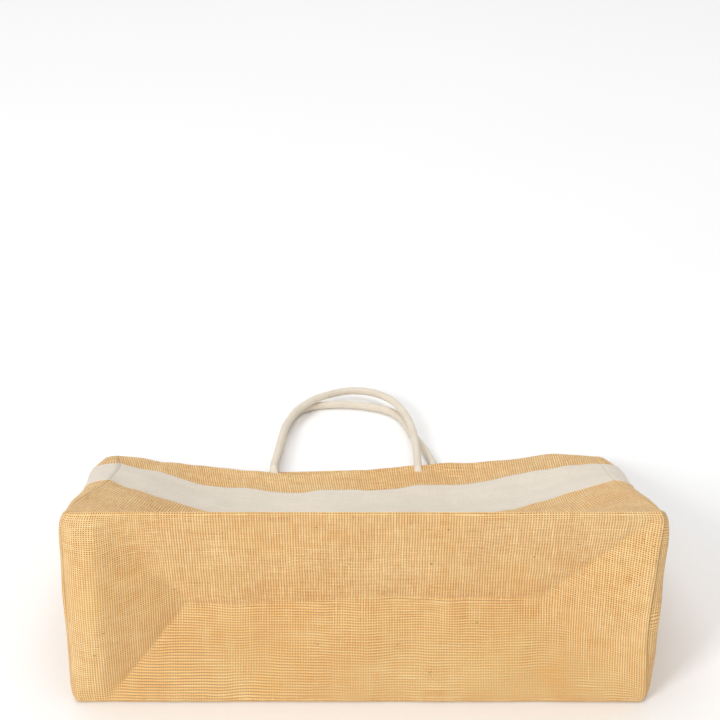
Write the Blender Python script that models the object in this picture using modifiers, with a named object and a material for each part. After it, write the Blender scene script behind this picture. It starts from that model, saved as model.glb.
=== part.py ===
"""A gusseted jute shopping bag with a cotton band and two cotton rope handles, lying on its back panel.

The origin is the centre of the flat underside of the back panel. +X runs across the bag, +Y from the
base towards the mouth, and +Z up. All sizes are in metres.
"""

import math

import bmesh
import bpy
import numpy as np
from mathutils import Vector

# Cloth sizes
BAG_WIDTH = 0.450
SEAM_HEIGHT = 0.182          # the base's upper seam above the floor
CLOTH = 0.0012               # thickness of the jute and of the cotton band
HEM_CLOTH = 0.0008           # the turned-in hem layer
GAP = 0.0004                 # between pieces that are sewn edge to edge
PLY_GAP = 0.0005             # between layers that are sewn face to face

# Places along +Y, counted from the base's outer face
PANEL_START = 0.0035
BACK_MOUTH = 0.3215
FRONT_MOUTH_CORNER = 0.321
FRONT_MOUTH_MIDDLE = 0.3055
ORIGIN_FROM_BASE = 0.166

# Heights of the front panel's mouth edge
CORNER_HEIGHT = 0.018
MIDDLE_HEIGHT = 0.0145
SAG = 0.035                  # how far the front panel's middle hangs below its chord
SAG_POWER = 3.0              # a higher power keeps the sag flatter across the bag
MOUTH_POWER = 4.0

# The three lengths of cloth, as shares of the way from base to mouth
BAND_START = 0.61
BAND_END = 0.857
HEM_START = 0.93
HEM_END = 0.995
HEM_HALF_WIDTH = 0.115

# The base is pushed in like a hipped roof
CREASE_DEPTH = 0.039
CREASE_HEIGHT = 0.071
HIP_LENGTH = 0.084
HIP_SOFTNESS = 0.10
HIP_LIFT = 0.07              # makes up for the depth that the soft corners lose

# The gussets fold in towards the mouth
FOLD_DEPTH = 0.0985
FOLD_RUN = 0.060
FOLD_POWER = 1.25
FOLD_EASE = 2.0              # a higher power keeps the gusset straight for longer near the base
BULGE = 0.0095
BULGE_RUN = 0.050
FOLD_FLOOR = 0.0029          # lowest height of a gusset's outer face
FOLD_CEILING = 0.0034        # how far it stays below the front panel's outer face

# Rope handles
ROPE_RADIUS = 0.0034
SLEEVE_WALL = 0.0009
CORE_RADIUS = 0.0022
TAIL_WIDTH = 0.012
TAIL_THICK = 0.0018
TAIL_LENGTH = 0.022
TAIL_PROUD = 0.0026          # how far a tail reaches past the mouth edge
ROPE_START = 0.0012          # from the swing axis to the rope's end face
ROPE_LEAD = 0.005            # the rope leaves its hem straight for this far
FRONT_AXIS = (0.3108, 0.0126)   # y, z of the front handle's swing axis
BACK_AXIS = (0.3263, 0.0037)
FRONT_LEGS = (-0.0800, 0.0484)
BACK_LEGS = (-0.0800, 0.0622)
FRONT_ROUTE = [(-0.0772, 0.3354), (-0.0743, 0.3582), (-0.0712, 0.3781), (-0.0625, 0.4016),
               (-0.0526, 0.4153), (-0.0398, 0.4284), (-0.0240, 0.4408), (-0.0081, 0.4448),
               (0.0107, 0.4383), (0.0283, 0.4170), (0.0364, 0.4016), (0.0417, 0.3847),
               (0.0450, 0.3664), (0.0473, 0.3435)]
BACK_ROUTE = [(-0.0772, 0.3488), (-0.0743, 0.3716), (-0.0712, 0.3915), (-0.0629, 0.4127),
              (-0.0528, 0.4213), (-0.0417, 0.4254), (-0.0296, 0.4272), (-0.0174, 0.4275),
              (-0.0015, 0.4254), (0.0153, 0.4203), (0.0255, 0.4144), (0.0347, 0.4042),
              (0.0400, 0.3907), (0.0444, 0.3773), (0.0500, 0.3641), (0.0560, 0.3500)]
FRONT_DIP = 0.005            # the front loop's far end hangs down past the back loop
DIP_RANGE = (0.418, 0.449)
ROUTE_STEPS = 2              # points from one route point to the next
ROPE_RESOLUTION = 2

# How finely each surface is laid out: cells across, cells along
BASE_CELLS = (30, 14)
FRONT_COLUMNS = 26
BACK_CELLS = (4, 2)
GUSSET_COLUMNS = 16
LOWER_ROWS = 12
BAND_ROWS = 5
STRIP_ROWS = 4
HEM_CELLS = (12, 3)
TAIL_CELLS = (3, 5)

# Colours (linear), roughness
JUTE = ((0.78, 0.51, 0.25), 0.95)
COTTON = ((0.76, 0.69, 0.60), 0.90)
ROPE_COTTON = ((0.78, 0.71, 0.61), 0.90)
FILLER = ((0.80, 0.78, 0.72), 1.00)


def clear_scene():
    """Start from an empty scene."""
    for item in list(bpy.data.objects):
        bpy.data.objects.remove(item)


def principled(name, colour, roughness):
    """A cloth material of one colour."""
    material = bpy.data.materials.new(name)
    material.use_nodes = True
    shader = material.node_tree.nodes["Principled BSDF"]
    shader.inputs["Base Color"].default_value = (*colour, 1.0)
    shader.inputs["Roughness"].default_value = roughness
    shader.inputs["Metallic"].default_value = 0.0
    return material


def hinge_empty(name, y, z):
    """An empty on a joint's axis, which the pieces of its body hang from."""
    empty = bpy.data.objects.new(name, None)
    empty.location = (0.0, y - ORIGIN_FROM_BASE, z)
    empty.empty_display_size = 0.02
    BAG.objects.link(empty)
    return empty


def place(obj, finish, parent):
    """Link a piece, dress it and hang it from its joint's empty."""
    obj.data.materials.append(principled(f"{obj.name}_cloth", *finish))
    BAG.objects.link(obj)
    if parent is not None:
        obj.parent = parent
    return obj


def pivot_of(parent):
    """Where a piece's origin lies, in the bag's frame."""
    return Vector(parent.location) if parent is not None else Vector((0.0, 0.0, 0.0))


def across(x):
    """0 on the bag's middle line and 1 on its side edges."""
    return min(1.0, abs(2.0 * x / BAG_WIDTH))


def mouth_y(x):
    """The front panel's mouth edge, which bows towards the base in the middle."""
    bow = FRONT_MOUTH_CORNER - FRONT_MOUTH_MIDDLE
    return FRONT_MOUTH_CORNER - bow * (1.0 - across(x) ** MOUTH_POWER)


def front_point(x, share):
    """The front panel's outer face: a straight fold at each side and a sagging middle."""
    y = PANEL_START + share * (mouth_y(x) - PANEL_START)
    fold_height = SEAM_HEIGHT + share * (CORNER_HEIGHT - SEAM_HEIGHT)
    drop = 4.0 * SAG * share * (1.0 - share) + share * (CORNER_HEIGHT - MIDDLE_HEIGHT)
    return x, y, fold_height - drop * (1.0 - across(x) ** SAG_POWER)


def front_height(x, y):
    """The height of the front panel's outer face above a place on the floor."""
    share = (y - PANEL_START) / (mouth_y(x) - PANEL_START)
    return front_point(x, share)[2]


def back_point(x, share):
    """The back panel's outer face, flat on the floor."""
    return x, PANEL_START + share * (BACK_MOUTH - PANEL_START), 0.0


def soft_min(values):
    """The smallest value, with the corners between values rounded off."""
    total = sum(math.exp(-v / HIP_SOFTNESS) for v in values)
    return -HIP_SOFTNESS * math.log(total)


def base_point(x, rise):
    """The base's outer face: a shallow hipped roof pushed into the bag."""
    z = rise * SEAM_HEIGHT
    slopes = (z / CREASE_HEIGHT, (SEAM_HEIGHT - z) / (SEAM_HEIGHT - CREASE_HEIGHT),
              (0.5 * BAG_WIDTH - abs(x)) / HIP_LENGTH)
    inward = min(max(soft_min([*slopes, 1.0]) + HIP_LIFT, 0.0), min(slopes))
    return x, CREASE_DEPTH * inward, z


def gusset_point(side, rise, share):
    """A gusset's outer face: bowed out at the base and folded in towards the mouth."""
    back_y = back_point(0.0, share)[1]
    depth = FOLD_DEPTH * (1.0 - math.exp(-((back_y / FOLD_RUN) ** FOLD_EASE)))
    folded = depth * (1.0 - abs(2.0 * rise - 1.0) ** FOLD_POWER)
    bowed = BULGE * math.sin(math.pi * rise) * math.exp(-back_y / BULGE_RUN)
    x = 0.5 * BAG_WIDTH - folded
    y = back_y + rise * (front_point(x, share)[1] - back_y)
    top = front_height(x, min(y, mouth_y(x))) - FOLD_CEILING
    return side * (x + bowed), y, FOLD_FLOOR + rise * (top - FOLD_FLOOR)


def cloth(name, surface, u_range, v_range, cells, outward, thickness, finish, parent=None):
    """One piece of cloth: a grid laid on a surface, with its thickness on the inner side."""
    mesh = bpy.data.meshes.new(name)
    bm = bmesh.new()
    bmesh.ops.create_grid(bm, x_segments=cells[0], y_segments=cells[1], size=0.5)
    pivot = pivot_of(parent)
    for vertex in bm.verts:
        u = u_range[0] + (vertex.co.x + 0.5) * (u_range[1] - u_range[0])
        v = v_range[0] + (vertex.co.y + 0.5) * (v_range[1] - v_range[0])
        x, y, z = surface(u, v)
        vertex.co = Vector((x, y - ORIGIN_FROM_BASE, z)) - pivot
    bm.normal_update()
    facing = sum((face.normal for face in bm.faces), Vector())
    if facing.dot(Vector(outward)) < 0.0:
        bmesh.ops.reverse_faces(bm, faces=bm.faces)
    bm.to_mesh(mesh)
    bm.free()
    obj = bpy.data.objects.new(name, mesh)
    wall = obj.modifiers.new("thickness", "SOLIDIFY")
    wall.thickness = thickness
    wall.offset = -1.0
    return place(obj, finish, parent)


def lower(surface, depth):
    """The same surface, a layer further down."""
    def point(u, v):
        x, y, z = surface(u, v)
        return x, y, z - depth
    return point


def spline_points(route):
    """Points on a smooth curve through the route's own points (Catmull-Rom)."""
    points = [np.array(p, float) for p in route]
    ends = [2.0 * points[0] - points[1], *points, 2.0 * points[-1] - points[-2]]
    out = []
    for a, b, c, d in zip(ends, ends[1:], ends[2:], ends[3:]):
        for t in np.arange(ROUTE_STEPS) / ROUTE_STEPS:
            out.append(0.5 * (2.0 * b + (c - a) * t + (2.0 * a - 5.0 * b + 4.0 * c - d) * t * t
                              + (3.0 * b - a - 3.0 * c + d) * t ** 3))
    return [*out, points[-1]]


def dipped(y, dip):
    """How far the loop hangs below its swing axis: nothing near the bag and the whole dip at its end."""
    share = min(max((y - DIP_RANGE[0]) / (DIP_RANGE[1] - DIP_RANGE[0]), 0.0), 1.0)
    return dip * share * share * (3.0 - 2.0 * share)


def rope_route(legs, route, axis, dip):
    """The middle line of a handle, level with its swing axis but for the dip at its far end."""
    start = axis[0] + ROPE_START
    lead = start + ROPE_LEAD
    path = [(legs[0], start), (legs[0], lead), *route, (legs[1], lead), (legs[1], start)]
    return [(x, y - ORIGIN_FROM_BASE, axis[1] - dipped(y, dip)) for x, y in spline_points(path)]


def tube(name, points, radius, wall, finish, parent):
    """A round cord along the points: hollow with a wall, or solid with end caps."""
    data = bpy.data.curves.new(name, "CURVE")
    data.dimensions = "3D"
    data.bevel_depth = radius
    data.bevel_resolution = ROPE_RESOLUTION
    data.use_fill_caps = wall is None
    line = data.splines.new("POLY")
    line.points.add(len(points) - 1)
    pivot = pivot_of(parent)
    for slot, point in zip(line.points, points):
        slot.co = (*(Vector(point) - pivot), 1.0)
    obj = bpy.data.objects.new(name, data)
    if wall is not None:
        shell = obj.modifiers.new("wall", "SOLIDIFY")
        shell.thickness = wall
        shell.offset = -1.0
    return place(obj, finish, parent)


def walls(front_hinge):
    """The base, and the front, back and gusset lengths of jute and cotton."""
    half = 0.5 * BAG_WIDTH
    cloth("base_panel", base_point, (-half, half), (0.0, 1.0), BASE_CELLS, (0, -1, 0), CLOTH, JUTE)
    share_gap = GAP / (BACK_MOUTH - PANEL_START)
    zones = [("lower_panel", 0.0, BAND_START, LOWER_ROWS, JUTE),
             ("cotton_band", BAND_START + share_gap, BAND_END, BAND_ROWS, COTTON),
             ("top_strip", BAND_END + share_gap, 1.0, STRIP_ROWS, JUTE)]
    for label, start, end, rows, finish in zones:
        zone = (start, end)
        cloth(f"front_{label}", front_point, (-half, half), zone, (FRONT_COLUMNS, rows), (0, 0, 1), CLOTH,
              finish, front_hinge)
        cloth(f"back_{label}", back_point, (-half, half), zone, BACK_CELLS, (0, 0, -1), CLOTH, finish)
        for side, word in ((-1.0, "left"), (1.0, "right")):
            def gusset(rise, share, side=side):
                return gusset_point(side, rise, share)
            cloth(f"{word}_gusset_{label}", gusset, (0.0, 1.0), zone, (GUSSET_COLUMNS, rows), (side, 0, 0),
                  CLOTH, finish)


def hems(front_hinge):
    """The turned-in hem layer inside each panel's mouth edge, over the handle tails."""
    depth = CLOTH + PLY_GAP + TAIL_THICK + PLY_GAP
    width = (-HEM_HALF_WIDTH, HEM_HALF_WIDTH)
    zone = (HEM_START, HEM_END)
    cloth("front_hem_fold", lower(front_point, depth), width, zone, HEM_CELLS, (0, 0, 1), HEM_CLOTH, JUTE,
          front_hinge)
    cloth("back_hem_fold", lower(back_point, -depth), width, zone, HEM_CELLS, (0, 0, -1), HEM_CLOTH, JUTE)


def tails(front_hinge):
    """The flattened handle ends that are sewn in under each hem."""
    depth = CLOTH + PLY_GAP
    half = 0.5 * TAIL_WIDTH
    for panel, surface, sign, mouth, legs, parent in (
            ("front", front_point, 1.0, FRONT_MOUTH_MIDDLE, FRONT_LEGS, front_hinge),
            ("back", back_point, -1.0, BACK_MOUTH, BACK_LEGS, None)):
        run = mouth - PANEL_START
        zone = (1.0 - TAIL_LENGTH / run, 1.0 + TAIL_PROUD / run)
        for word, leg in zip(("left", "right"), legs):
            cloth(f"{panel}_handle_tail_{word}", lower(surface, sign * depth), (leg - half, leg + half),
                  zone, TAIL_CELLS, (0, 0, sign), TAIL_THICK, ROPE_COTTON, parent)


def handles(front_hinge):
    """Two rope handles, the front one lying on the back one."""
    for word, legs, route, axis, dip, parent in (
            ("front", FRONT_LEGS, FRONT_ROUTE, FRONT_AXIS, FRONT_DIP, front_hinge),
            ("back", BACK_LEGS, BACK_ROUTE, BACK_AXIS, 0.0, None)):
        swing = hinge_empty(f"{word}_handle_hinge", *axis)
        points = rope_route(legs, route, axis, dip)
        tube(f"{word}_handle_sleeve", points, ROPE_RADIUS, SLEEVE_WALL, ROPE_COTTON, swing)
        tube(f"{word}_handle_core", points, CORE_RADIUS, None, FILLER, swing)
        if parent is not None:
            swing.parent = parent
            swing.location = Vector(swing.location) - pivot_of(parent)


def build():
    """Model the whole bag."""
    front_hinge = hinge_empty("mouth_hinge", PANEL_START, SEAM_HEIGHT)
    walls(front_hinge)
    hems(front_hinge)
    tails(front_hinge)
    handles(front_hinge)


clear_scene()
BAG = bpy.data.collections.new("jute_bag")
bpy.context.scene.collection.children.link(BAG)
build()
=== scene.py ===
"""The looks of a gusseted jute shopping bag that lies on its back panel.

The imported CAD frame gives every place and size. Each length of cloth is a sheet worked out from a
formula, dressed in a plain weave, and sewn with modelled stitches. The jute's yarns are drawn
a little coarser than the bag's size would make them, so that they show.
"""

import logging
import math
from dataclasses import dataclass, field
from enum import Enum
from typing import Callable, Optional, Sequence

import bpy
import numpy as np
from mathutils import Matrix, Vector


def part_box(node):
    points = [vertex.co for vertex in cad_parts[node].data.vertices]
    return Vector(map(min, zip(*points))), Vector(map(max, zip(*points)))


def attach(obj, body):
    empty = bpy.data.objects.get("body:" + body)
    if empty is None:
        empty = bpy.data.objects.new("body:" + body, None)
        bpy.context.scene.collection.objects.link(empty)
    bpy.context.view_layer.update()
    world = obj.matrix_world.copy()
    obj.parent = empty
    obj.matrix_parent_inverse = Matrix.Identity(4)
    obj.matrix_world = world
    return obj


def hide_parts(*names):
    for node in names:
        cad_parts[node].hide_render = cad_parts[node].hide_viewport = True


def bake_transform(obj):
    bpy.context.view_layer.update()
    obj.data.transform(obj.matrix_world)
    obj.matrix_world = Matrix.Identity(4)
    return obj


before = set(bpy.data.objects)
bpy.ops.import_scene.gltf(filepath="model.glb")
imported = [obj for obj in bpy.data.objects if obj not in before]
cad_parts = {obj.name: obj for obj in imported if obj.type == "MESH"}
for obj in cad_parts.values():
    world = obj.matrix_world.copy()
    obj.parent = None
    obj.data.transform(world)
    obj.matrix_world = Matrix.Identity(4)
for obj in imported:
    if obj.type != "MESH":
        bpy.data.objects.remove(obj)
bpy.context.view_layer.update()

LOG = logging.getLogger("jute_bag")

Array = np.ndarray
Surface = Callable[[Array, Array], Array]

MM = 0.001


# ---------------------------------------------------------------- small tools


def linear(code: str) -> tuple[float, float, float, float]:
    """Turn an sRGB hex colour into linear light.

    Args:
        code: six hex digits, with or without a hash.

    Returns:
        Red, green and blue from 0 to 1 in linear light, and an alpha of 1.
    """
    digits = code.lstrip("#")
    values = np.array([int(digits[i : i + 2], 16) for i in (0, 2, 4)]) / 255.0
    light = np.where(values <= 0.04045, values / 12.92, ((values + 0.055) / 1.055) ** 2.4)
    return (*(float(x) for x in light), 1.0)


def smoothstep(low: float, high: float, value: Array) -> Array:
    """Return 0 below low, 1 above high, and an S-shaped rise between them."""
    t = np.clip((value - low) / (high - low), 0.0, 1.0)
    return t * t * (3.0 - 2.0 * t)


def eased(keys: Sequence[float], values: Sequence[float], at: Array) -> Array:
    """Run a smooth curve through a few key values.

    Each stretch is a cubic whose slope at a key is the slope between the keys on its two sides.

    Args:
        keys: where the values are, rising.
        values: one value at each key.
        at: where the curve is wanted.

    Returns:
        The curve's value at each place.
    """
    k, v = np.asarray(keys, float), np.asarray(values, float)
    slope = np.gradient(v, k)
    i = np.clip(np.searchsorted(k, at, side="right") - 1, 0, len(k) - 2)
    run = k[i + 1] - k[i]
    t = np.clip((at - k[i]) / run, 0.0, 1.0)
    start = (1.0 + 2.0 * t) * (1.0 - t) ** 2 * v[i] + t * (1.0 - t) ** 2 * run * slope[i]
    end = t * t * (3.0 - 2.0 * t) * v[i + 1] + t * t * (t - 1.0) * run * slope[i + 1]
    return start + end


def ripples(x: Array, y: Array, wave: float, seed: int, count: int = 9) -> Array:
    """Add up sine waves of random direction and phase into a soft, even unevenness.

    Args:
        x: places across the cloth, in metres.
        y: places along the cloth, in metres.
        wave: the typical distance from crest to crest, in metres.
        seed: picks the waves.
        count: how many waves are added.

    Returns:
        Heights with a spread of about 1.
    """
    draw = np.random.default_rng(seed)
    total = np.zeros(np.broadcast(x, y).shape)
    for _ in range(count):
        angle, phase, stretch = draw.uniform(0, math.tau), draw.uniform(0, math.tau), draw.uniform(0.7, 1.5)
        along = np.cos(angle) * x + np.sin(angle) * y
        total += np.sin(math.tau * along / (wave * stretch) + phase)
    return total * math.sqrt(2.0 / count)


def mesh_object(name: str, points: Array, faces: Array, uv: Optional[Array] = None) -> bpy.types.Object:
    """Make an object from whole arrays.

    Args:
        name: the piece's name.
        points: one row of x, y, z for each vertex.
        faces: one row of vertex numbers for each quad.
        uv: one row of u, v for each vertex, in metres on the cloth.

    Returns:
        The new object, smooth shaded, in the scene.
    """
    mesh = bpy.data.meshes.new(name)
    mesh.from_pydata(points.reshape(-1, 3).tolist(), [], faces.tolist())
    if uv is not None:
        layer = mesh.uv_layers.new(name="cloth")
        layer.data.foreach_set("uv", uv.reshape(-1, 2)[faces.ravel()].astype(np.float32).ravel())
    mesh.shade_smooth()
    mesh.update()
    obj = bpy.data.objects.new(name, mesh)
    bpy.context.scene.collection.objects.link(obj)
    return obj


def grid_faces(rows: int, columns: int, closed: bool = False) -> Array:
    """Number the quads of a grid of points.

    Args:
        rows: how many rows of points there are.
        columns: how many points a row has.
        closed: whether each row joins up into a ring.

    Returns:
        One row of four vertex numbers for each quad.
    """
    r, c = np.meshgrid(np.arange(rows - 1), np.arange(columns if closed else columns - 1), indexing="ij")
    after = (c + 1) % columns
    quads = [r * columns + c, r * columns + after, (r + 1) * columns + after, (r + 1) * columns + c]
    return np.stack(quads, axis=-1).reshape(-1, 4)


def normals_of(points: Array) -> Array:
    """Return the unit normal at each point of a grid, from the slopes along its two directions."""
    along = np.gradient(points, axis=0)
    across = np.gradient(points, axis=1)
    n = np.cross(across, along)
    return n / np.maximum(np.linalg.norm(n, axis=-1, keepdims=True), 1e-12)


# ---------------------------------------------------------------- finishes


def middle(rise: Array) -> Array:
    """Return 0 at both ends and 1 over the middle, with smooth shoulders."""
    return smoothstep(0.0, 0.25, rise) * (1.0 - smoothstep(0.7, 1.0, rise))


def quarter(place: Array) -> Array:
    """Return a quarter ellipse's fall: 1 at the edge, place 0, and 0 from place 1 on."""
    t = np.clip(1.0 - place, 0.0, 1.0)
    return 1.0 - np.sqrt(1.0 - t * t)


class Nodes:
    """A material's node tree, filled one node at a time."""

    def __init__(self, name: str) -> None:
        """Start a material that holds only its output."""
        self.material = bpy.data.materials.new(name)
        self.material.use_nodes = True
        self.tree = self.material.node_tree
        self.tree.nodes.clear()
        self.output = self.tree.nodes.new("ShaderNodeOutputMaterial")

    def add(self, kind: str, inputs: dict | Sequence = (), out: int | str = 0,
            **settings) -> bpy.types.NodeSocket:
        """Add a node with its settings, values and links.

        Args:
            kind: the node's type.
            inputs: a value or a socket for each input, by name or in order.
            out: which output is wanted.
            **settings: the node's own properties.

        Returns:
            The output socket.
        """
        node = self.tree.nodes.new(kind)
        for key, value in settings.items():
            setattr(node, key, value)
        pairs = inputs.items() if isinstance(inputs, dict) else enumerate(inputs)
        for key, value in pairs:
            if isinstance(value, bpy.types.NodeSocket):
                self.tree.links.new(value, node.inputs[key])
            elif value is not None:
                node.inputs[key].default_value = value
        return node.outputs[out]

    def math(self, operation: str, *values: float | bpy.types.NodeSocket, **settings) -> bpy.types.NodeSocket:
        """Add one step of arithmetic on the values and return its result."""
        return self.add("ShaderNodeMath", values, operation=operation, **settings)

    def mix(self, share: bpy.types.NodeSocket, first: object, second: object) -> bpy.types.NodeSocket:
        """Mix two colours: the first where the share is 0, the second where it is 1."""
        return self.add("ShaderNodeMix", {0: share, 6: first, 7: second}, 2, data_type="RGBA")

    def finish(self, shader: bpy.types.NodeSocket) -> bpy.types.Material:
        """Link the shader to the output and return the material."""
        self.tree.links.new(shader, self.output.inputs["Surface"])
        return self.material


@dataclass(frozen=True)
class Weave:
    """A plain-woven cloth: yarns cross over and under, with a gap at each corner between them."""

    name: str
    light: str
    dark: str
    warm: str
    # The gap colour is painted shade at the yarns' edges and in the holes between them; it also tints the
    # stalk flecks.
    gap: str
    warp_mm: float
    weft_mm: float
    fullness: float
    slub: float
    wander: float
    relief_mm: float
    roughness: float
    # How strongly the painted shade darkens the yarns' edges and the holes between them.
    gap_shade_strength: float
    tone_spread: float = 1.0
    streak: float = 0.0
    fleck: float = 0.0

    def _yarn(self, n: Nodes, place: bpy.types.NodeSocket, along: bpy.types.NodeSocket, seed: float):
        """Work out one set of yarns.

        The place counted in yarns splits into a yarn's number and a place across it from -1/2 to 1/2.
        A noise drawn along each yarn swells and thins it. Its rounded section is 1 minus the square of
        the place over the yarn's half width.

        Args:
            n: the node tree.
            place: the place across the yarns, counted in yarns.
            along: the place along the yarns, counted in crossings.
            seed: sets these yarns' noise apart.

        Returns:
            The yarn's number, the place across it, its section and its tone.
        """
        number = n.math("FLOOR", place)
        part = n.math("SUBTRACT", n.math("FRACT", place), 0.5)
        row = n.math("MULTIPLY", number, 7.31)
        run = n.math("MULTIPLY", along, 0.085)
        spot = n.add("ShaderNodeCombineXYZ", [row, run, seed])
        tone = n.add("ShaderNodeTexNoise", {"Vector": spot, "Scale": 1.0, "Detail": 2.0, "Roughness": 0.6})
        width = n.math("MULTIPLY_ADD", tone, self.slub, self.fullness - 0.5 * self.slub)
        ratio = n.math("DIVIDE", n.math("MULTIPLY", part, 2.0), width)
        square = n.math("MULTIPLY", ratio, ratio)
        section = n.math("SUBTRACT", 1.0, square, use_clamp=True)
        return number, part, section, tone

    def build(self) -> bpy.types.Material:
        """Make the material.

        Returns:
            A cloth whose colour and bump follow its yarns, with shade painted into the colour at the yarns'
            edges and in the gaps, on the piece's own UV map in metres.
        """
        n = Nodes(self.name)
        uv = n.add("ShaderNodeUVMap", uv_map="cloth")
        bend = n.add("ShaderNodeTexNoise", {"Vector": uv, "Scale": 38.0, "Detail": 2.0}, "Color")
        bend = n.add("ShaderNodeVectorMath", [bend, (0.5, 0.5, 0.5)], operation="SUBTRACT")
        pitch = (1.0 / (self.warp_mm * MM), 1.0 / (self.weft_mm * MM), 1.0)
        count = n.add("ShaderNodeVectorMath", [uv, pitch], operation="MULTIPLY")
        count = n.add("ShaderNodeVectorMath", [bend, (self.wander,) * 3, count], operation="MULTIPLY_ADD")
        split = n.add("ShaderNodeSeparateXYZ", [count]).node
        u, v = split.outputs["X"], split.outputs["Y"]
        warp_no, warp_at, warp, warp_tone = self._yarn(n, u, v, 3.0)
        weft_no, weft_at, weft, weft_tone = self._yarn(n, v, u, 11.0)
        both = n.math("ADD", warp_no, weft_no)
        odd = n.math("FLOORED_MODULO", both, 2.0)
        side = n.math("MULTIPLY_ADD", odd, 2.0, -1.0)
        heights = []
        for section, cross, sign in ((warp, weft_at, 0.5), (weft, warp_at, -0.5)):
            turn = n.math("COSINE", n.math("MULTIPLY", cross, math.pi))
            swing = n.math("MULTIPLY", turn, side)
            lift = n.math("MULTIPLY_ADD", swing, sign * 0.9, 0.55)
            heights.append(n.math("MULTIPLY", section, lift))
        height = n.math("MAXIMUM", *heights)
        cover = n.math("MAXIMUM", warp, weft)
        on_top = n.math("GREATER_THAN", *heights)
        tone = n.add("ShaderNodeMix", {0: on_top, 2: weft_tone, 3: warp_tone}, data_type="FLOAT")
        fibre = n.add("ShaderNodeTexNoise", {"Vector": uv, "Scale": 900.0, "Detail": 2.0})
        blot = n.add("ShaderNodeTexNoise", {"Vector": uv, "Scale": 9.0, "Detail": 3.0})
        tone = n.math("MULTIPLY_ADD", n.math("SUBTRACT", tone, 0.5), 1.7 * self.tone_spread, 0.5)
        tone = n.math("MULTIPLY_ADD", n.math("SUBTRACT", fibre, 0.5), 0.5 * self.tone_spread, tone)
        tone = n.math("MULTIPLY_ADD", n.math("SUBTRACT", blot, 0.5), 0.7 * self.tone_spread, tone,
                      use_clamp=True)
        colour = n.mix(tone, linear(self.dark), linear(self.light))
        patch = n.add("ShaderNodeTexNoise", {"Vector": uv, "Scale": 14.0, "Detail": 4.0, "Roughness": 0.65})
        patch = n.add("ShaderNodeMapRange", {0: patch, 1: 0.50, 2: 0.74, 3: 0.0, 4: 0.30})
        colour = n.mix(patch, colour, linear(self.warm))
        if self.streak:
            stretched = n.add("ShaderNodeVectorMath", [uv, (5.0, 420.0, 1.0)], operation="MULTIPLY")
            lines = n.add("ShaderNodeTexNoise", {"Vector": stretched, "Scale": 1.0, "Detail": 3.0})
            lines = n.add("ShaderNodeMapRange", {0: lines, 1: 0.35, 2: 0.70, 3: 0.0, 4: self.streak})
            colour = n.mix(lines, colour, linear(self.dark))
        if self.fleck:
            spots = n.add("ShaderNodeTexNoise", {"Vector": uv, "Scale": 240.0, "Detail": 1.0})
            spots = n.add("ShaderNodeMapRange", {0: spots, 1: 0.735, 2: 0.80, 3: 0.0, 4: self.fleck})
            colour = n.mix(spots, colour, linear(self.gap))
        # Painted shade: the colour darkens towards the gap colour at the yarns' rounded edges and in the
        # holes between them, where shade falls.
        shade = n.add("ShaderNodeMapRange", {0: cover, 1: 0.0, 2: 0.50, 3: self.gap_shade_strength, 4: 0.0})
        colour = n.mix(shade, colour, linear(self.gap))
        hair = n.math("MULTIPLY_ADD", fibre, 0.22, height)
        bump = n.add("ShaderNodeBump", {"Strength": 0.8, "Distance": self.relief_mm * MM, "Height": hair})
        shader = n.add("ShaderNodeBsdfPrincipled", {
            "Base Color": colour, "Roughness": self.roughness, "Normal": bump,
            "Specular IOR Level": 0.18, "Sheen Weight": 0.12, "Sheen Roughness": 0.6})
        return n.finish(shader)


@dataclass(frozen=True)
class RopeCover:
    """A tube of brushed cotton drawn over a twisted cord: soft slanting valleys and a fine rib, with shade
    painted into the valleys.
    """

    name: str
    light: str
    dark: str
    rib_mm: float

    def build(self) -> bpy.types.Material:
        """Make the material on the rope's own UV map, u round the rope and v along it, in metres."""
        n = Nodes(self.name)
        uv = n.add("ShaderNodeUVMap", uv_map="cloth")
        split = n.add("ShaderNodeSeparateXYZ", [uv]).node
        slant = n.math("MULTIPLY_ADD", split.outputs["Y"], 0.6, split.outputs["X"])
        turns = n.math("MULTIPLY", slant, math.tau / (self.rib_mm * MM))
        rib = n.math("SINE", turns)
        cross = n.math("MULTIPLY", split.outputs["Y"], math.tau / (self.rib_mm * MM))
        cross = n.math("SINE", cross)
        weave = n.math("ADD", rib, cross)
        soil = n.add("ShaderNodeTexNoise", {"Vector": uv, "Scale": 60.0, "Detail": 4.0})
        # Painted shade: the rib's height also sets the colour, darker in its valleys and lighter on its
        # crests; the noise adds random tone.
        tone = n.math("MULTIPLY_ADD", weave, 0.10, soil, use_clamp=True)
        colour = n.mix(tone, linear(self.dark), linear(self.light))
        bump = n.add("ShaderNodeBump", {"Strength": 0.6, "Distance": 0.10 * MM, "Height": weave})
        shader = n.add("ShaderNodeBsdfPrincipled", {"Base Color": colour, "Roughness": 0.88, "Normal": bump,
                                                    "Specular IOR Level": 0.2, "Sheen Weight": 0.15})
        return n.finish(shader)


@dataclass(frozen=True)
class SpunThread:
    """Sewing thread: two plies twisted together, with light and shade painted across it at a slant where the
    plies turn.
    """

    name: str
    light: str
    dark: str

    def build(self) -> bpy.types.Material:
        """Make the material on object coordinates."""
        n = Nodes(self.name)
        place = n.add("ShaderNodeTexCoord", out="Object")
        twist = n.add("ShaderNodeTexWave", {"Vector": place, "Scale": 700.0, "Distortion": 1.5}, 0,
                      bands_direction="DIAGONAL")
        # Painted shade: the slanting bands stand for light and shade on the twisted plies.
        colour = n.mix(twist, linear(self.dark), linear(self.light))
        shader = n.add("ShaderNodeBsdfPrincipled", {"Base Color": colour, "Roughness": 0.75})
        return n.finish(shader)


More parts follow.
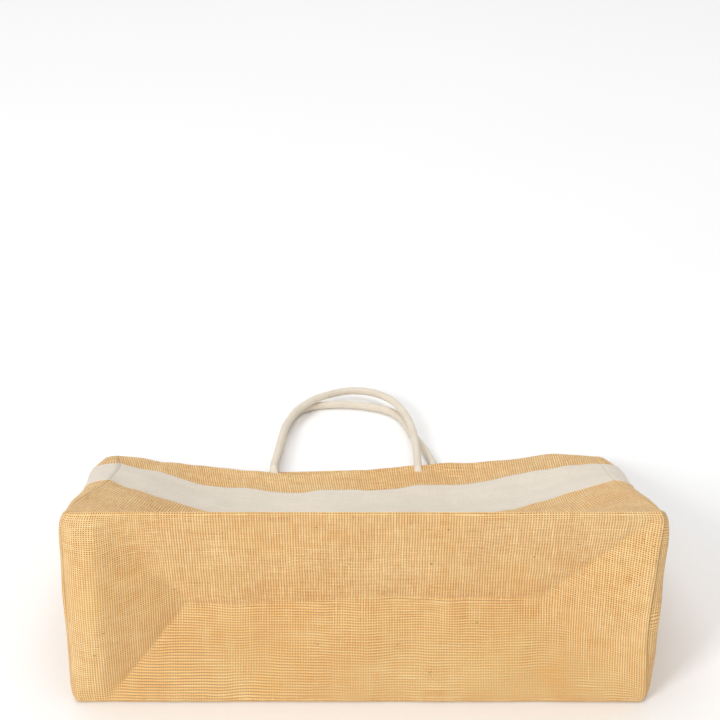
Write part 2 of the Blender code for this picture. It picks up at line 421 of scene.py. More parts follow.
class Finish(Enum):
    """The bag's finishes. Each value is the real material and what it gives the eye."""

    # Jute hessian: coarse golden yarns with shade painted into the gaps between them, slubs and bits of
    # stalk.
    JUTE = Weave("jute_hessian", "FCDDA2", "E6AC68", "F2BA68", "4E2C0E", 2.05, 2.10, 0.69, 0.26, 0.60,
                 0.45, 0.92, 1.0, fleck=0.8)
    # Cotton canvas: fine even yarns, drawn a little coarse so that they show, with streaks along the weft and
    # faint shade painted between the yarns.
    CANVAS = Weave("woven_cotton_canvas", "EFE6D8", "DACFBE", "E2D5BE", "B0A38A", 0.95, 1.05, 0.96,
                   0.12, 0.25, 0.16, 0.88, 0.25, streak=0.5)
    ROPE = RopeCover("cotton_rope_cover", "F2E9DA", "DACEBB", 0.8)
    JUTE_THREAD = SpunThread("jute_coloured_thread", "D9B27A", "B98A50")
    CREAM_THREAD = SpunThread("cream_thread", "EFE8DC", "CFC5B4")

    def material(self) -> bpy.types.Material:
        """Return this finish's material, made the first time it is asked for."""
        return bpy.data.materials.get(self.value.name) or self.value.build()


# ---------------------------------------------------------------- the bag's shape


def low(node: str, axis: int) -> float:
    """Return a CAD node's lowest corner along an axis."""
    return float(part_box(node)[0][axis])


def high(node: str, axis: int) -> float:
    """Return a CAD node's highest corner along an axis."""
    return float(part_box(node)[1][axis])


@dataclass
class BagShape:
    """The surfaces that the lengths of cloth follow, with the sizes taken from the CAD frame.

    Neighbouring surfaces share their edges: the base and a gusset meet in the side seam, and a gusset
    ends on the front panel's fold, so the bag reads as one soft shell.
    """

    half: float = 0.225
    base_y: float = field(default_factory=lambda: low("base_panel", 1))
    seam_height: float = 0.182
    start_y: float = field(default_factory=lambda: low("back_lower_panel", 1))
    back_mouth_y: float = field(default_factory=lambda: high("back_top_strip", 1))
    band_start: float = 0.61
    band_end: float = 0.857
    cloth_length: float = 0.37
    base_depth: float = 0.200
    rim: float = 2.5 * MM
    crease_depth: float = 0.039
    crease_height: float = 0.071
    corner: float = 4.0 * MM
    top_corner: float = 5.0 * MM
    tuck_depth: float = 0.0985
    flare: tuple[float, float] = (4.0 * MM, -3.5 * MM)

    ACROSS = (-1.0, -0.92, -0.66, -0.34, -0.02, 0.295, 0.613, 0.88, 1.0)
    SAG = (0.0045, 0.0100, 0.0293, 0.0358, 0.0355, 0.0390, 0.0333, 0.0160, 0.0045)
    MOUTH_Z = (0.0182, 0.0170, 0.0146, 0.0136, 0.0134, 0.0137, 0.0143, 0.0170, 0.0181)
    MOUTH_Y = (0.3211, 0.3205, 0.3101, 0.3010, 0.3034, 0.3150, 0.3212, 0.3262, 0.3200)
    ALONG = (0.0, 0.3, 0.61, 0.857, 1.0)
    LEFT_FOLD = (-0.2265, -0.2215, -0.2120, -0.2125, -0.2200)
    RIGHT_FOLD = (0.2262, 0.2185, 0.2084, 0.2074, 0.2079)
    LEFT_SHOULDER = (0.0, 0.0155, 0.0235, 0.0255, 0.0115)
    RIGHT_SHOULDER = (0.0, 0.0140, 0.0180, 0.0165, 0.0070)
    UP = (0.0, 0.35, 0.7, 0.93, 1.0)
    LEFT_SEAM = (0.2290, 0.2296, 0.2292, 0.2275, 0.2265)
    RIGHT_SEAM = (0.2215, 0.2185, 0.2215, 0.2245, 0.2262)
    LEFT_POUCH = (0.0, 0.0020, 0.0020, 0.0010, 0.0)
    RIGHT_POUCH = (0.0, 0.0085, 0.0058, 0.0034, 0.0)

    def folds(self, share: Array) -> tuple[Array, Array]:
        """Return x of the left and right folds between the front and the gussets."""
        turn = self.top_corner * np.exp(-share * self.cloth_length / self.top_corner)
        left = eased(self.ALONG, self.LEFT_FOLD, share) + turn
        return left, eased(self.ALONG, self.RIGHT_FOLD, share) - turn

    def seam_x(self, side: Array, rise: Array) -> Array:
        """Return how far out the side seam lies. At the floor it turns in round the corner."""
        out = np.where(side < 0, eased(self.UP, self.LEFT_SEAM, rise), eased(self.UP, self.RIGHT_SEAM, rise))
        out = out - self.top_corner * np.exp(-(1.0 - rise) * self.seam_height / self.top_corner)
        return out - self.corner * np.exp(-rise * self.seam_height / self.corner)

    def seam_y(self, side: Array, rise: Array) -> Array:
        """Return the side seam's y. On the left it lies 10 mm further back, round the base's corner."""
        start = self.start_y + rise * (self.base_y + self.rim - self.start_y)
        return start + np.where(side < 0, 10.0, 0.0) * MM * middle(rise)

    def front(self, c: Array, share: Array) -> Array:
        """Lay out the front panel's outer face.

        x runs between the two side folds. y runs from the base seam to the mouth edge, which bows. The
        height falls in a straight line to the mouth, less a parabola of sag along it that dies out at
        the folds. The edges curl down: a groove at the seam, a round fold at the sides and a round rim.

        Args:
            c: the place across, from -1 at the left fold to 1 at the right one.
            share: the place from the base seam, 0, to the mouth edge, 1.

        Returns:
            Points in the row frame.
        """
        left, right = self.folds(share)
        x = left + 0.5 * (c + 1.0) * (right - left)
        mouth_y = eased(self.ACROSS, self.MOUTH_Y, c) + self.base_y
        mouth_z = eased(self.ACROSS, self.MOUTH_Z, c)
        first_y = self.base_y + self.rim
        y = first_y + share * (mouth_y - first_y)
        sag = eased(self.ACROSS, self.SAG, c)
        z = self.seam_height + share * (mouth_z - self.seam_height) - 4.0 * sag * share * (1.0 - share)
        run, left_over = share * self.cloth_length, (1.0 - share) * self.cloth_length
        inset = (1.0 - np.abs(c)) * self.half
        away = 1.0 - np.exp(-run / (9.0 * MM))
        z = z - 0.7 * MM * np.exp(-run / (1.1 * MM)) - 1.2 * MM * np.exp(-left_over / (1.2 * MM))
        curl = 1.6 * MM * (1.0 - smoothstep(0.0, 0.3, share))
        z = z - curl * np.exp(-inset / (2.6 * MM)) * away
        quiet = away * (1.0 - np.exp(-inset / (9.0 * MM)))
        z = z + quiet * (1.3 * MM * ripples(x, y, 0.085, 5) + 0.35 * MM * ripples(x, y, 0.030, 8))
        pucker = np.sin(math.tau * x / 0.013 + 2.0 * ripples(x, y * 0.0, 0.09, 3))
        z = z + 0.30 * MM * pucker * np.exp(-run / 0.010) * quiet
        return np.stack([x, y, z], axis=-1)

    def back(self, c: Array, share: Array) -> Array:
        """Lay the back panel on the floor: flat, with round corners and a slightly wavy mouth edge."""
        run = share * self.cloth_length
        out = np.where(c < 0, *self.flare) * np.exp(-run / 0.05) - self.corner * np.exp(-run / (5.0 * MM))
        x = c * (self.half + out * np.abs(c) ** 5)
        wave = 1.2 * MM * ripples(x, x * 0.0, 0.12, 21) * share**4
        y = self.start_y + share * (self.back_mouth_y - self.start_y) + wave - 0.002 * share
        return np.stack([x, y, 0.0 * x + 0.05 * MM], axis=-1)

    def hips(self, x: Array, z: Array) -> Array:
        """Return how far the base is pushed in, as a share of its greatest depth.

        The base is pushed in like a hipped roof on its side: the depth is the least of three slopes,
        from the floor, from the upper seam and from the nearer end. A soft least, minus the logarithm
        of the sum of exponentials, rounds the creases between them. Two of the four corner creases are
        pressed sharp, and the other two are worn soft. Along each crease the cloth is pinched in a
        little further.

        Args:
            x: the place across.
            z: the height.

        Returns:
            0 at the edges and about 1 in the long crease.
        """
        c = x / self.half
        crease = self.crease_height + 4.0 * MM * c + 1.5 * MM * np.sin(5.0 * c + 1.0)
        lower = z / crease
        upper = (self.seam_height - z) / (self.seam_height - crease)
        left = (x + self.half - 22.0 * MM) / 0.064
        right = (self.half - 3.0 * MM - x) / 0.086
        slopes = np.stack([lower, upper, left, right])
        worn = np.maximum(smoothstep(0.35, 0.75, -c) * smoothstep(0.5, 0.75, z / self.seam_height),
                          smoothstep(0.35, 0.75, c) * smoothstep(0.5, 0.25, z / self.seam_height))
        soft = 0.020 + 0.055 * worn
        depth = -soft * np.log(np.exp(-slopes / soft).sum(axis=0))
        least = np.sort(slopes, axis=0)
        pinch = np.exp(-(least[1] - least[0]) / 0.055) * (1.0 - worn) * smoothstep(0.05, 0.4, depth)
        return 0.03 * np.logaddexp(0.0, depth / 0.03) + 0.045 * pinch

    def base(self, c: Array, rise: Array) -> Array:
        """Lay out the base panel's outer face: the hips, inside edges that round back into the seams.

        Each edge turns back by one minus the root of one minus the square of the place across it, a
        quarter of an ellipse. On the left the turn is wide, because the seam sits round the corner.

        Args:
            c: the place across, from -1 to 1.
            rise: the place from the floor, 0, to the upper seam, 1.

        Returns:
            Points in the row frame.
        """
        z = rise * self.seam_height
        side = np.sign(c)
        edge = self.seam_x(side, rise)
        x = c * (self.half + (edge - self.half) * np.abs(c) ** 6)
        inset, from_top = (edge - np.abs(x)).clip(0.0), self.seam_height - z
        turn = np.where(side < 0, 6.0 * MM + 20.0 * MM * middle(rise), 3.5 * MM)
        rounding = np.stack([quarter(inset / turn) * (self.seam_y(side, rise) - self.base_y),
                             quarter(from_top / self.rim) * self.rim,
                             quarter(z / (3.5 * MM)) * (self.start_y - self.base_y)]).max(axis=0)
        calm = (1.0 - np.exp(-inset / (6.0 * MM))) * (1.0 - np.exp(-from_top / (5.0 * MM)))
        calm = calm * (1.0 - np.exp(-z / (5.0 * MM)))
        waves = 0.9 * MM * ripples(x, z, 0.075, 31) + 0.25 * MM * ripples(x, z, 0.028, 32)
        pucker = np.sin(math.tau * x / 0.012 + 2.0 * ripples(x, z * 0.0, 0.08, 33))
        waves = waves + 0.30 * MM * pucker * (np.exp(-from_top / 0.009) + np.exp(-z / 0.009))
        y = self.base_y + rounding + calm * (self.crease_depth * self.hips(x, z) + waves)
        return np.stack([x, y, z], axis=-1)

    def gusset(self, side: float, rise: Array, share: Array) -> Array:
        """Lay out a gusset's outer face.

        Its lower edge lies on the back panel's edge and its upper edge on the front panel's fold.
        Between them it pouches out near the base, rounds over a shoulder below the front fold, and is
        tucked in towards the mouth, deepest half way up.

        Args:
            side: -1 for the left gusset, 1 for the right one.
            rise: the place from the back panel, 0, to the front panel, 1.
            share: the place from the base, 0, to the mouth, 1.

        Returns:
            Points in the row frame.
        """
        run = share * self.cloth_length
        foot = self.back(side + 0.0 * share, share)
        fold = self.front(side + 0.0 * share, share)
        shoulders, pouches = ((self.LEFT_SHOULDER, self.LEFT_POUCH) if side < 0
                              else (self.RIGHT_SHOULDER, self.RIGHT_POUCH))
        depth = self.tuck_depth * (1.0 - np.exp(-((run / 0.060) ** 2.0)))
        down = 1.0 - rise
        tuck = smoothstep(0.08, 0.55, down) * (1.0 - smoothstep(0.55, 1.0, down))
        turn = 1.0 - np.clip(down / 0.15, 0.0, 1.0)
        shoulder = eased(self.ALONG, shoulders, share) * np.sqrt(1.0 - turn**2)
        shoulder = shoulder * (1.0 - smoothstep(0.15, 1.0, down)) * smoothstep(0.0, 0.2, share)
        edge = side * (foot[..., 0] + smoothstep(0.0, 1.0, rise) * (fold[..., 0] - foot[..., 0]))
        first, last = self.seam_x(side, 0.0 * rise), self.seam_x(side, 0.0 * rise + 1.0)
        bow = self.seam_x(side, rise) - first - smoothstep(0.0, 1.0, rise) * (last - first)
        pouch = eased(self.UP, pouches, rise) * (1.0 - np.exp(-run / (5.0 * MM)))
        bow = bow * np.exp(-run / 0.02) + pouch * np.exp(-run / 0.06)
        x = side * (edge + bow + shoulder - depth * tuck)
        left, right = self.folds(share)
        c = np.clip(2.0 * (x - left) / (right - left) - 1.0, -1.0, 1.0)
        under = self.front(c, share)
        seam = (self.seam_y(side, rise) - self.seam_y(side, 0.0) - rise * (self.seam_y(side, 1.0)
                - self.seam_y(side, 0.0))) * np.exp(-run / 0.03)
        y = foot[..., 1] + rise * (under[..., 1] - foot[..., 1]) + seam
        top = under[..., 2] - 2.2 * MM * np.sin(math.pi * rise) * smoothstep(0.0, 0.1, share)
        floor = foot[..., 2] + 1.3 * MM * smoothstep(0.0, 0.1, rise) * smoothstep(0.0, 0.05, share)
        z = floor + rise * (top - floor)
        still = np.sin(math.pi * rise) * (1.0 - np.exp(-run / 0.01))
        x = x + side * 0.8 * MM * ripples(y, z, 0.06, 41) * still
        return np.stack([x, y, z], axis=-1)


# ---------------------------------------------------------------- pieces of cloth


def crowded(first: float, last: float, count: int) -> Array:
    """Return places from first to last that stand closer together towards both ends.

    A sine is added to the even places, which shortens the steps at the ends to a third.
    """
    t = np.linspace(-1.0, 1.0, count)
    t = t + 0.66 * np.sin(math.pi * t) / math.pi
    return first + 0.5 * (t + 1.0) * (last - first)


def lengths(line: Array) -> Array:
    """Return how far along a line of points each one lies."""
    return np.concatenate([[0.0], np.cumsum(np.linalg.norm(np.diff(line, axis=0), axis=-1))])


def follow(obj: bpy.types.Object, body: str, weights: Optional[Array]) -> None:
    """Make a piece move with its body, or, where weights are given, only bake its place into its mesh;
    nothing bends.

    Args:
        obj: the piece.
        body: the body it rides on when no weights are given.
        weights: for each vertex, 0 where it stays with the bag and 1 where it goes with the front, or
        nothing where the piece rides on one body. Only whether they are given is read.
    """
    if weights is None:
        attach(obj, body)
        return
    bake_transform(obj)


@dataclass
class ClothPiece:
    """One length of cloth: a surface over a patch of its two parameters, with a thickness inwards."""

    name: str
    node: str
    surface: Surface
    across: tuple[float, float]
    along: tuple[float, float]
    cells: tuple[int, int]
    facing: tuple[float, float, float]
    cut: tuple[float, float]
    finish: Finish
    slot: str
    body: str = "bag"
    lift: float = 0.0
    thickness: float = 1.2 * MM
    bends: bool = False
    uv_shift: tuple[float, float] = (0.0, 0.0)
    rests_on: tuple[str, ...] = ()

    def points(self, u: Array, v: Array, raised: float) -> Array:
        """Return places on the cloth's outer face, raised along its normal by a height."""
        p = self.surface(u, v)
        n = normals_of(p)
        n = n * np.sign((n * np.array(self.facing)).sum(axis=-1).mean())
        return p + n * raised

    def build(self) -> bpy.types.Object:
        """Make the cloth, dress it, and hand it to its body."""
        u, v = np.meshgrid(crowded(*self.across, self.cells[0]), crowded(*self.along, self.cells[1]))
        p = self.points(u, v, self.lift)
        faces = grid_faces(self.cells[1], self.cells[0])
        if (np.cross(np.gradient(p, axis=1), np.gradient(p, axis=0)) * np.array(self.facing)).sum() < 0.0:
            faces = faces[:, ::-1]
        wide = lengths(p[len(p) // 2]) + self.uv_shift[0]
        long = lengths(p[:, p.shape[1] // 2]) + self.uv_shift[1]
        obj = mesh_object(self.name, p, faces, np.stack(np.meshgrid(wide, long), axis=-1))
        wall = obj.modifiers.new("thickness", "SOLIDIFY")
        wall.thickness = self.thickness
        wall.offset = -1.0
        wall.use_quality_normals = True
        obj.data.materials.append(self.finish.material())
        follow(obj, self.body, smoothstep(0.0, 1.0, u) if self.bends else None)
        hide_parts(self.node)
        LOG.info("cloth %s: %d faces", self.name, len(faces))
        return obj


@dataclass
class StitchRow:
    """A row of lockstitches on a piece of cloth, each a short thread with round ends."""

    name: str
    cloth: ClothPiece
    share: float
    finish: Finish = Finish.CREAM_THREAD
    pitch: float = 4.2 * MM
    length: float = 2.9 * MM
    radius: float = 0.24 * MM

    def build(self) -> bpy.types.Object:
        """Make the row.

        The row's line is the cloth's surface at one share. Each stitch is a ring of six points carried
        along a short straight run, whose radius is a half circle's, sunk a little at both ends.
        """
        u = np.linspace(*self.cloth.across, 900)
        step = 0.004
        v = self.share + np.array([-step, 0.0, step])
        patch = self.cloth.points(*np.meshgrid(u, v), self.cloth.lift + 0.12 * MM)
        normal = normals_of(patch)[1]
        normal *= np.sign((normal * np.array(self.cloth.facing)).sum(axis=-1).mean())
        line = patch[1]
        run = np.concatenate([[0.0], np.cumsum(np.linalg.norm(np.diff(line, axis=0), axis=1))])
        at = np.arange(0.5 * self.pitch, run[-1] - 0.5 * self.pitch, self.pitch)
        centre = np.stack([np.interp(at, run, line[:, k]) for k in range(3)], axis=1)
        up = np.stack([np.interp(at, run, normal[:, k]) for k in range(3)], axis=1)
        ahead = np.stack([np.interp(at + 1e-4, run, line[:, k]) for k in range(3)], axis=1) - centre
        ahead /= np.linalg.norm(ahead, axis=1, keepdims=True)
        side = np.cross(ahead, up)
        t = np.linspace(-1.0, 1.0, 6)
        angle = np.arange(6) * math.tau / 6
        wide = self.radius * np.sqrt(np.clip(1.03 - t**2, 0.0, 1.0))
        sunk = -0.45 * self.radius * t**2
        p = (centre[:, None, None] + ahead[:, None, None] * (0.5 * self.length * t)[None, :, None, None]
             + up[:, None, None] * (sunk[:, None] + wide[:, None] * np.sin(angle))[None, :, :, None]
             + side[:, None, None] * (wide[:, None] * np.cos(angle))[None, :, :, None])
        ring = grid_faces(6, 6, closed=True)
        first = (np.arange(len(at)) * 36)[:, None, None]
        faces = (ring[None] + first).reshape(-1, 4)
        start = np.array([[0, 1, 2, 3], [0, 3, 4, 5]])
        caps = np.concatenate([start[:, ::-1], start + 30])
        faces = np.concatenate([faces, (caps[None] + first).reshape(-1, 4)])
        obj = mesh_object(self.name, p, faces[:, ::-1])
        obj.data.materials.append(self.finish.material())
        rise = np.interp(at, run, u)
        weights = np.repeat(smoothstep(0.0, 1.0, rise), 36) if self.cloth.bends else None
        follow(obj, self.cloth.body, weights)
        LOG.info("stitches %s: %d", self.name, len(at))
        return obj


@dataclass
class Walls:
    """The base and the four walls, each in three lengths: jute, a cotton band, and jute at the mouth."""

    shape: BagShape
    overlap: float = 0.010
    band_lift: float = 0.4 * MM

    def _piece(self, wall: str, zone: str, surface: Surface, across: tuple[float, float], columns: int,
               facing: tuple[float, float, float], wide: float, **options) -> ClothPiece:
        """Describe one wall's length of cloth. The band overlaps the jute on both sides of it."""
        s = self.shape
        bounds = {"lower_panel": (0.0, s.band_start),
                  "cotton_band": (s.band_start - self.overlap, s.band_end + self.overlap),
                  "top_strip": (s.band_end, 1.0)}[zone]
        rows = {"lower_panel": 120, "cotton_band": 50, "top_strip": 40}[zone]
        long = (bounds[1] - bounds[0]) * s.cloth_length
        band = zone == "cotton_band"
        return ClothPiece(f"{wall}_{zone}_cloth", f"{wall}_{zone}", surface, across, bounds,
                          (columns, rows), facing, (wide, long),
                          Finish.CANVAS if band else Finish.JUTE, "cotton_canvas" if band else "jute",
                          lift=self.band_lift if band else 0.0,
                          uv_shift=(0.0, bounds[0] * s.cloth_length), **options)

    def build(self) -> list[ClothPiece]:
        """Make the base and every wall, and return the pieces that take stitches."""
        s = self.shape
        base = ClothPiece("base_cloth", "base_panel", s.base, (-1.0, 1.0), (0.0, 1.0), (240, 110), (0, -1, 0),
                          (2.0 * s.half, s.base_depth), Finish.JUTE, "jute", uv_shift=(0.0, 1.0))
        base.build()
        made = []
        for zone in ("lower_panel", "cotton_band", "top_strip"):
            made.append(self._piece("front", zone, s.front, (-1.0, 1.0), 240, (0, 0, 1), 2.0 * s.half,
                                    body="front"))
            made.append(self._piece("back", zone, s.back, (-1.0, 1.0), 120, (0, 0, -1), 2.0 * s.half))
            for side, word in ((-1.0, "left"), (1.0, "right")):
                def surface(rise: Array, share: Array, side: float = side) -> Array:
                    return s.gusset(side, rise, share)
                made.append(self._piece(f"{word}_gusset", zone, surface, (0.0, 1.0), 90, (side, 0, 0),
                                        s.base_depth, bends=True))
        for piece in made:
            if piece.name.startswith("back"):
                piece.lift = 0.0
            piece.build()
        return made


@dataclass
class Seams:
    """The visible sewing: a row inside each edge of the band and a row along the hem."""

    pieces: list[ClothPiece]
    inside: float = 0.008

    def build(self) -> None:
        """Sew the band and the top strip of every wall but the back."""
        for cloth in self.pieces:
            if cloth.name.startswith("back"):
                continue
            stem = cloth.name.removesuffix("_cloth")
            if "cotton_band" in cloth.name:
                StitchRow(f"{stem}_lower_stitches", cloth, cloth.along[0] + self.inside).build()
                StitchRow(f"{stem}_upper_stitches", cloth, cloth.along[1] - self.inside).build()
            elif "top_strip" in cloth.name:
                StitchRow(f"{stem}_hem_stitches", cloth, 0.945, finish=Finish.JUTE_THREAD).build()


@dataclass
class Hems:
    """The turned-in hem layers inside the mouth, which hold the handles' ends."""

    shape: BagShape
    reach: float = 0.51
    depth: float = 1.7 * MM
    pocket: float = 2.3 * MM

    def build(self) -> None:
        """Make the front and back hem layers.

        Each layer follows its panel one thickness further in, and swells by a bell curve over each
        sewn handle end.
        """
        s = self.shape
        for wall, surface, facing, sign in (("front", s.front, (0, 0, 1), -1.0),
                                            ("back", s.back, (0, 0, -1), 1.0)):
            legs = [0.5 * (low(f"{wall}_handle_tail_{side}", 0) + high(f"{wall}_handle_tail_{side}", 0))
                    for side in ("left", "right")]

            def inner(c: Array, share: Array, surface: Surface = surface, sign: float = sign,
                      legs: list[float] = legs) -> Array:
                """Return places on the layer's side that faces its panel."""
                p = surface(c, share)
                swell = sum(np.exp(-(((p[..., 0] - leg) / (9.0 * MM)) ** 4)) for leg in legs)
                p[..., 2] += sign * (self.depth + self.pocket * swell)
                return p
            ClothPiece(f"{wall}_hem_layer", f"{wall}_hem_fold", inner, (-self.reach, self.reach),
                       (0.93, 0.985), (110, 14), facing,
                       (2.0 * self.reach * s.half, 0.055 * s.cloth_length), Finish.JUTE, "jute",
                       body="front" if wall == "front" else "bag", thickness=0.8 * MM).build()


# ---------------------------------------------------------------- handles


def swept(name: str, path: Array, half_wide: Array, half_high: Array, ring: int, twist: Array | float = 0.0,
          lobes: float = 0.0) -> bpy.types.Object:
    """Carry an oval section along a nearly level path and close both ends.

    A ring point lies at the path plus cos times the half width to the side and sin times the half
    height upwards. Three shallow lobes turn with the path, as a twisted cord's strands do.

    Args:
        name: the piece's name.
        path: points along the middle line.
        half_wide: half the section's width at each point.
        half_high: half its height at each point.
        ring: how many points go round.
        twist: the lobes' angle at each point.
        lobes: the lobes' depth as a share of the radius.

    Returns:
        The tube, with u round it and v along it, in metres.
    """
    ahead = np.gradient(path, axis=0)
    ahead /= np.linalg.norm(ahead, axis=1, keepdims=True)
    side = np.cross(ahead, [0.0, 0.0, 1.0])
    side /= np.linalg.norm(side, axis=1, keepdims=True)
    up = np.cross(side, ahead)
    angle = np.arange(ring + 1) * math.tau / ring
    swell = 1.0 + lobes * np.abs(np.sin(1.5 * (angle[None] - np.reshape(twist, (-1, 1))))) - 0.6 * lobes
    p = (path[:, None] + side[:, None] * (half_wide[:, None] * swell * np.cos(angle))[..., None]
         + up[:, None] * (half_high[:, None] * swell * np.sin(angle))[..., None])
    run = np.concatenate([[0.0], np.cumsum(np.linalg.norm(np.diff(path, axis=0), axis=1))])
    uv = np.stack(np.broadcast_arrays(angle[None] * half_high.mean(), run[:, None]), axis=-1)
    rows, columns = p.shape[:2]
    faces = grid_faces(rows, columns)
    mesh = bpy.data.meshes.new(name)
    points = np.concatenate([p.reshape(-1, 3), path[:1], path[-1:]])
    last = rows * columns
    fan = np.arange(ring)
    start = np.stack([fan + 1, fan, np.full(ring, last)], axis=1)
    far = (rows - 1) * columns + fan
    end = np.stack([far, far + 1, np.full(ring, last + 1)], axis=1)
    shell = [face for part in (faces, start, end) for face in part[:, ::-1].tolist()]
    mesh.from_pydata(points.tolist(), [], shell)
    flat = np.concatenate([uv.reshape(-1, 2), uv[0, :1], uv[-1, :1]])
    layer = mesh.uv_layers.new(name="cloth")
    loops = np.zeros(len(mesh.loops), np.int32)
    mesh.loops.foreach_get("vertex_index", loops)
    layer.data.foreach_set("uv", flat[loops].astype(np.float32).ravel())
    mesh.shade_smooth()
    weld = bpy.data.objects.new(name, mesh)
    bpy.context.scene.collection.objects.link(weld)
    closing = weld.modifiers.new("close", "WELD")
    closing.merge_threshold = 0.00002
    return weld


@dataclass
class RopeHandle:
    """A cotton-covered cord whose two flattened ends are sewn in under the hem."""

    word: str
    body: str
    legs: tuple[float, float]
    axis_y: float
    axis_z: float
    route: tuple[tuple[float, float], ...]
    tail_z: float
    dip: float
    radius: float = 3.4 * MM
    lay: float = 30.0 * MM
    lead: float = 5.0 * MM
    bend: float = 24.0 * MM
    dip_range: tuple[float, float] = (0.418, 0.449)

    def path(self) -> Array:
        """Follow the route's own points on a smooth curve (Catmull-Rom).

        The loop's far end dips towards the floor where nothing lies under it.

        Returns:
            Points about 1.5 mm apart.
        """
        start = self.axis_y - 2.0 * MM
        ends = [(self.legs[0], start), (self.legs[0], start + self.lead)]
        back = [(self.legs[1], start + self.lead), (self.legs[1], start)]
        keys = np.array([*ends, *self.route, *back], float)
        keys = np.concatenate([2.0 * keys[:1] - keys[1:2], keys, 2.0 * keys[-1:] - keys[-2:-1]])
        t = np.linspace(0.0, 1.0, 24, endpoint=False)[None, :, None]
        a, b, c, d = (keys[i : len(keys) - 3 + i, None] for i in range(4))
        curve = 0.5 * (2.0 * b + (c - a) * t + (2.0 * a - 5.0 * b + 4.0 * c - d) * t**2
                       + (3.0 * b - a - 3.0 * c + d) * t**3)
        flat = np.concatenate([curve.reshape(-1, 2), keys[-2:-1]])
        hang = smoothstep(*self.dip_range, flat[:, 1] - low("base_panel", 1))
        return np.column_stack([flat, self.axis_z - self.dip * hang])

    def build(self) -> None:
        """Make the rope and its two sewn ends."""
        path = self.path()
        run = np.concatenate([[0.0], np.cumsum(np.linalg.norm(np.diff(path, axis=0), axis=1))])
        even = np.arange(0.0, run[-1], 1.2 * MM)
        path = np.stack([np.interp(even, run, path[:, k]) for k in range(3)], axis=1)
        width = np.full(len(path), self.radius)
        rope = swept(f"{self.word}_handle_rope", path, width, width, 36, math.tau * even / self.lay, 0.06)
        rope.data.materials.append(Finish.ROPE.material())
        parent = "front" if self.word == "front" else "bag"
        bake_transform(rope)
        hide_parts(f"{self.word}_handle_sleeve", f"{self.word}_handle_core")
        for side, leg in zip(("left", "right"), self.legs):
            self._tail(side, leg, parent)

    def _tail(self, side: str, leg: float, parent: str) -> None:
        """Make one sewn end: flat inside the hem, and round where it meets the rope."""
        node = f"{self.word}_handle_tail_{side}"
        inner = low(node, 1)
        y = np.linspace(inner, self.axis_y - 1.0 * MM, 30)
        round_up = smoothstep(self.axis_y - 15.0 * MM, self.axis_y - 4.0 * MM, y)
        half_wide = (6.0 + (self.radius / MM - 6.0) * round_up) * MM
        half_high = (0.9 + (self.radius / MM - 0.9) * round_up**1.6) * MM
        z = self.tail_z + (self.axis_z - self.tail_z) * round_up
        path = np.column_stack([np.full_like(y, leg), y, z])
        tail = swept(f"{self.word}_handle_end_{side}", path, half_wide, half_high, 28)
        tail.data.materials.append(Finish.ROPE.material())
        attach(tail, parent)
        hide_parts(node)


# ---------------------------------------------------------------- the set


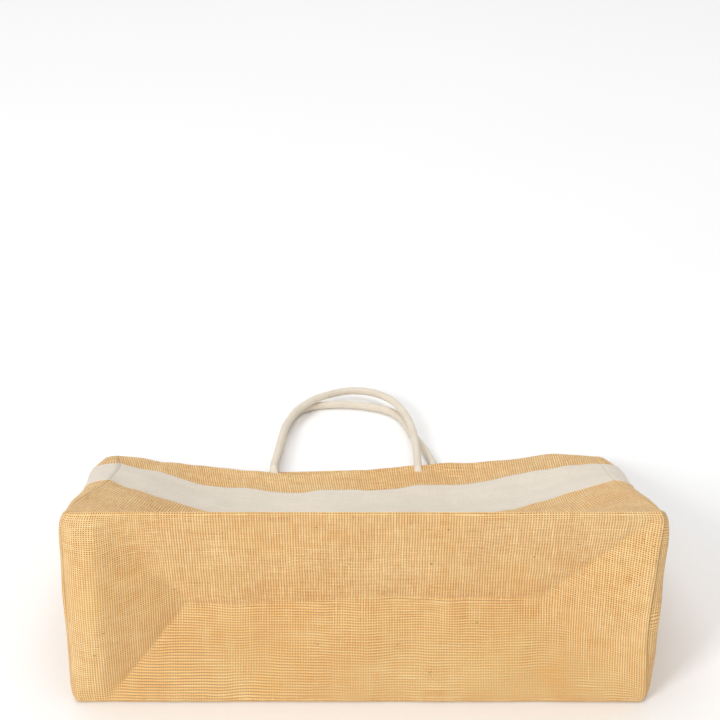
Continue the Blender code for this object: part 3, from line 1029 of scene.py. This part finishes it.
@dataclass
class Stage:
    """A pale floor, soft studio light and the camera."""

    shape: BagShape
    pitch_down: float = 31.7
    lens: float = 119.0

    def build(self) -> None:
        """Set up the camera, the lights and the floor."""
        scene = bpy.context.scene
        camera = bpy.data.objects.new("camera", bpy.data.cameras.new("camera"))
        camera.data.lens = self.lens
        camera.data.sensor_width = 36.0
        camera.location = (-0.0034, self.shape.base_y - 1.4458, 1.2095)
        camera.rotation_euler = (math.radians(90.0 - self.pitch_down), 0.0, 0.0)
        scene.collection.objects.link(camera)
        scene.camera = camera
        scene.view_settings.view_transform = "Standard"
        self._light("key", (-1.5, -2.0, 1.7), 0.9, 36.0)
        self._light("fill", (1.6, -1.6, 1.0), 1.6, 3.0)
        self._light("top", (-0.1, 0.6, 2.4), 1.8, 19.0)
        world = bpy.data.worlds.new("studio")
        world.use_nodes = True
        background = world.node_tree.nodes["Background"]
        background.inputs["Color"].default_value = linear("FFFFFF")
        background.inputs["Strength"].default_value = 0.62
        scene.world = world
        self._floor()

    def _light(self, name: str, place: tuple[float, float, float], size: float, power: float) -> None:
        """Add a square soft light that faces the bag."""
        data = bpy.data.lights.new(name, "AREA")
        data.size = size
        data.energy = power
        light = bpy.data.objects.new(name, data)
        light.location = place
        direction = np.array([0.0, 0.0, 0.05]) - np.array(place)
        flat = math.hypot(direction[0], direction[1])
        light.rotation_euler = (math.atan2(flat, -direction[2]), 0.0, math.atan2(-direction[0], direction[1]))
        bpy.context.scene.collection.objects.link(light)

    def _floor(self) -> None:
        """Lay a wide plain floor just under the bag."""
        side = 6.0
        corners = np.array([[-side, -side], [side, -side], [side, side], [-side, side]])
        points = np.column_stack([corners, np.full(4, -0.2 * MM)])
        floor = mesh_object("floor", points, np.array([[0, 1, 2, 3]]))
        n = Nodes("matt_white_paper")
        place = n.add("ShaderNodeTexCoord", out="Object")
        grain = n.add("ShaderNodeTexNoise", {"Vector": place, "Scale": 3.0})
        colour = n.mix(grain, linear("FAFAFA"), linear("FDFDFD"))
        paper = n.add("ShaderNodeBsdfPrincipled", {"Base Color": colour, "Roughness": 0.9,
                                                   "Specular IOR Level": 0.1})
        floor.data.materials.append(n.finish(paper))


FRONT_ROUTE = ((-0.0772, 0.3354), (-0.0743, 0.3582), (-0.0712, 0.3781), (-0.0625, 0.4016),
               (-0.0526, 0.4153), (-0.0398, 0.4284), (-0.0240, 0.4408), (-0.0081, 0.4448),
               (0.0107, 0.4383), (0.0283, 0.4170), (0.0364, 0.4016), (0.0417, 0.3847),
               (0.0450, 0.3664), (0.0473, 0.3435))
BACK_ROUTE = ((-0.0772, 0.3488), (-0.0743, 0.3716), (-0.0712, 0.3915), (-0.0629, 0.4127),
              (-0.0528, 0.4213), (-0.0417, 0.4254), (-0.0296, 0.4272), (-0.0174, 0.4275),
              (-0.0015, 0.4254), (0.0153, 0.4203), (0.0255, 0.4144), (0.0347, 0.4042),
              (0.0400, 0.3907), (0.0444, 0.3773), (0.0500, 0.3641), (0.0560, 0.3500))


def handles(shape: BagShape) -> list[RopeHandle]:
    """Describe the two handles. The front one lies on the back one."""
    def from_base(route: Sequence[tuple[float, float]]) -> tuple[tuple[float, float], ...]:
        return tuple((x, y + shape.base_y) for x, y in route)
    return [RopeHandle("front", "front_handle", (-0.0800, 0.0484), 0.3108 + shape.base_y, 12.6 * MM,
                       from_base(FRONT_ROUTE), tail_z=10.2 * MM, dip=5.0 * MM),
            RopeHandle("back", "back_handle", (-0.0800, 0.0622), 0.3263 + shape.base_y, 3.7 * MM,
                       from_base(BACK_ROUTE), tail_z=2.6 * MM, dip=0.0)]


def main() -> None:
    """Build the bag's pieces in order and report each one."""
    logging.basicConfig(level=logging.INFO, format="%(name)s: %(message)s")
    shape = BagShape()
    Stage(shape).build()
    for handle in handles(shape):
        handle.build()
    pieces = Walls(shape).build()
    Hems(shape).build()
    Seams(pieces).build()


if __name__ == "__main__":
    main()
